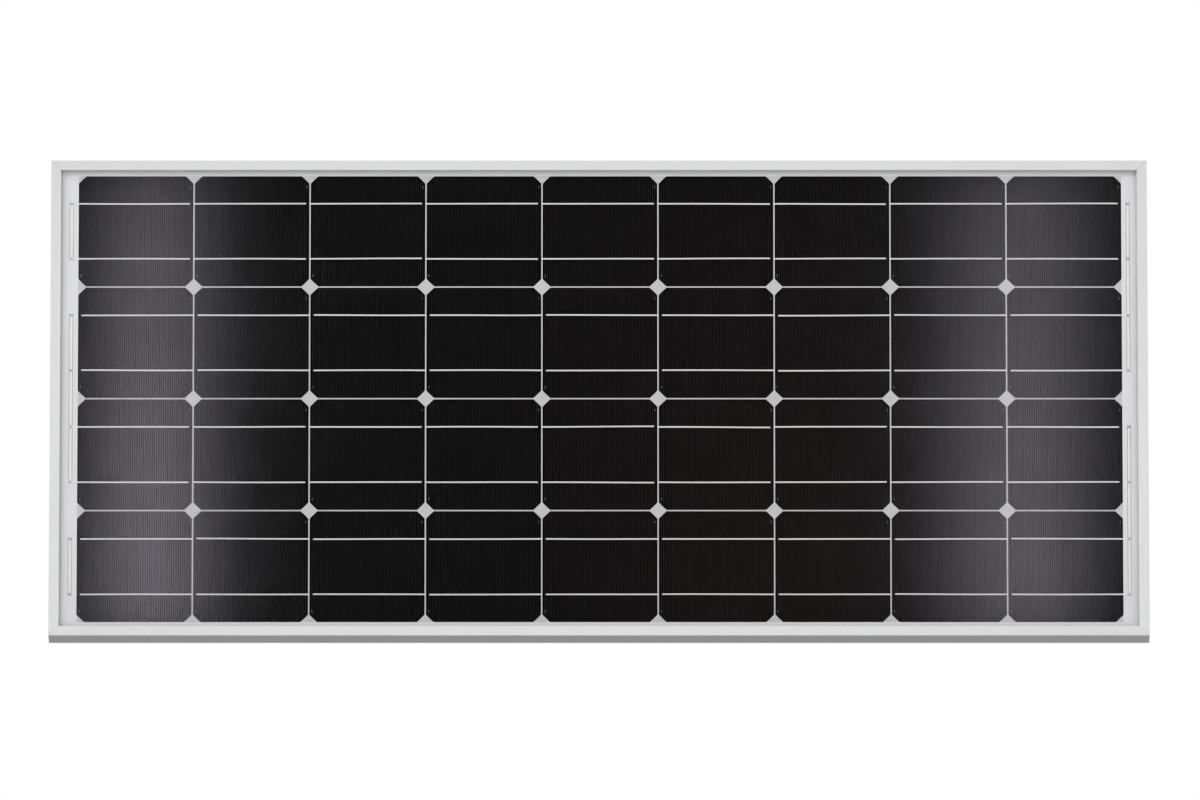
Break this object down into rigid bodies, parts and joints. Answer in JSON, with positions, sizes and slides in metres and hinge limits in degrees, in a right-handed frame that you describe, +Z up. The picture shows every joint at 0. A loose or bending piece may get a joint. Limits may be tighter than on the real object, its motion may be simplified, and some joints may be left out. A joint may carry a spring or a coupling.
{
  "type": "solar panel",
  "caption": "Framed rigid solar module with pseudo-square cells under glass, slotted aluminium frame, hinged-lid junction box and two leads with plug and socket.",
  "frame": {"origin": "middle of the four mounting slots, on the rear mounting plane of the frame", "axes": "+X along the long rails, +Y out of the back of the module, +Z up with the module standing on a long edge"},
  "size_m": [1.2, 0.03, 0.54],
  "materials": {
    "anodised_aluminium": "satin anodised, clear",
    "bare_aluminium": "sawn extrusion",
    "edge_seal": "cured sealant, grey",
    "solar_glass": "low-iron tempered, faint rolled texture",
    "encapsulant": "clear cross-linked film",
    "rear_encapsulant": "cross-linked film over the white backsheet",
    "silicon_cell": "monocrystalline silicon with anti-reflection coating and printed fingers",
    "tinned_ribbon": "solder-dipped copper",
    "insulation_film": "white polyester film",
    "backsheet": "white laminated film",
    "label": "blank silver film",
    "box_plastic": "moulded, fine grain",
    "connector_plastic": "moulded, satin",
    "clamp_plastic": "moulded nylon",
    "seal_rubber": "moulded silicone rubber",
    "silicone": "cured silicone bead",
    "plated_terminal": "tin-plated brass",
    "spring_steel": "bright strip",
    "diode_body": "moulded epoxy with plated leads",
    "tie_nylon": "nylon",
    "cable_sheath": "matt cross-linked sheath",
    "copper": "tinned stranded copper"
  },
  "bodies": {
    "module": {"frame_rail_top": "anodised_aluminium", "frame_rail_bottom": "anodised_aluminium", "frame_rail_left": "anodised_aluminium", "frame_rail_right": "anodised_aluminium", "corner_keys": "bare_aluminium", "edge_seal": "edge_seal", "front_glass": "solar_glass", "front_encapsulant": "encapsulant", "rear_encapsulant": "rear_encapsulant", "cell_string_1": "silicon_cell", "cell_string_2": "silicon_cell", "cell_string_3": "silicon_cell", "cell_string_4": "silicon_cell", "tabbing_ribbons_1": "tinned_ribbon", "tabbing_ribbons_2": "tinned_ribbon", "tabbing_ribbons_3": "tinned_ribbon", "tabbing_ribbons_4": "tinned_ribbon", "bus_ribbons_left": "tinned_ribbon", "bus_ribbons_right": "tinned_ribbon", "lead_out_ribbons": "tinned_ribbon", "lead_out_insulation": "insulation_film", "backsheet": "backsheet", "rating_label": "label", "box_base": "box_plastic", "box_gasket": "seal_rubber", "box_adhesive": "silicone", "terminal_negative": "plated_terminal", "terminal_middle": "plated_terminal", "terminal_positive": "plated_terminal", "ribbon_clips": "spring_steel", "bypass_diodes": "diode_body", "cable_ties": "tie_nylon", "plug_housing": "connector_plastic", "socket_housing": "connector_plastic", "plug_contact": "plated_terminal", "socket_contact": "plated_terminal", "plug_o_ring": "seal_rubber", "gland_seal_positive": "seal_rubber", "cable_sheath_positive": "cable_sheath", "conductor_positive": "copper", "gland_seal_negative": "seal_rubber", "cable_sheath_negative": "cable_sheath", "conductor_negative": "copper", "plug_seal": "seal_rubber", "socket_seal": "seal_rubber"},
    "lid": {"box_lid": "box_plastic"},
    "gland_ring_positive_body": {"gland_ring_positive": "clamp_plastic"},
    "gland_nut_positive_body": {"gland_nut_positive": "connector_plastic"},
    "gland_ring_negative_body": {"gland_ring_negative": "clamp_plastic"},
    "gland_nut_negative_body": {"gland_nut_negative": "connector_plastic"},
    "plug_ring_body": {"plug_ring": "clamp_plastic"},
    "plug_nut_body": {"plug_nut": "connector_plastic"},
    "socket_ring_body": {"socket_ring": "clamp_plastic"},
    "socket_nut_body": {"socket_nut": "connector_plastic"}
  },
  "joints": [
    {"name": "lid_hinge", "type": "hinge", "parent": "module", "child": "lid", "pos_m": [-0.5075, -0.00945, 0.0575], "axis": [1, 0, 0], "range_deg": [0, 105]},
    {"name": "gland_ring_positive_slide", "type": "slide", "parent": "module", "child": "gland_ring_positive_body", "axis": [1, 0, 0], "range_m": [0, 0.003]},
    {"name": "gland_nut_positive_turn", "type": "hinge", "parent": "gland_ring_positive_body", "child": "gland_nut_positive_body", "pos_m": [-0.4525, -0.01345, 0.03], "axis": [1, 0, 0], "range_deg": [0, 720]},
    {"name": "gland_ring_negative_slide", "type": "slide", "parent": "module", "child": "gland_ring_negative_body", "axis": [1, 0, 0], "range_m": [0, 0.003]},
    {"name": "gland_nut_negative_turn", "type": "hinge", "parent": "gland_ring_negative_body", "child": "gland_nut_negative_body", "pos_m": [-0.4525, -0.01345, -0.03], "axis": [1, 0, 0], "range_deg": [0, 720]},
    {"name": "plug_ring_slide", "type": "slide", "parent": "module", "child": "plug_ring_body", "axis": [1, 0, 0], "range_m": [0, 0.003]},
    {"name": "plug_nut_turn", "type": "hinge", "parent": "plug_ring_body", "child": "plug_nut_body", "pos_m": [-0.37967, -0.01345, 0.044], "axis": [1, 0, 0], "range_deg": [0, 720]},
    {"name": "socket_ring_slide", "type": "slide", "parent": "module", "child": "socket_ring_body", "axis": [1, 0, 0], "range_m": [0, 0.003]},
    {"name": "socket_nut_turn", "type": "hinge", "parent": "socket_ring_body", "child": "socket_nut_body", "pos_m": [-0.37967, -0.01345, -0.044], "axis": [1, 0, 0], "range_deg": [0, 720]}
  ],
  "couplings": [
    {"joint": "gland_ring_positive_slide", "follows": "gland_nut_positive_turn", "m_per_rad": 0.00023873},
    {"joint": "gland_ring_negative_slide", "follows": "gland_nut_negative_turn", "m_per_rad": 0.00023873},
    {"joint": "plug_ring_slide", "follows": "plug_nut_turn", "m_per_rad": 0.00023873},
    {"joint": "socket_ring_slide", "follows": "socket_nut_turn", "m_per_rad": 0.00023873}
  ]
}
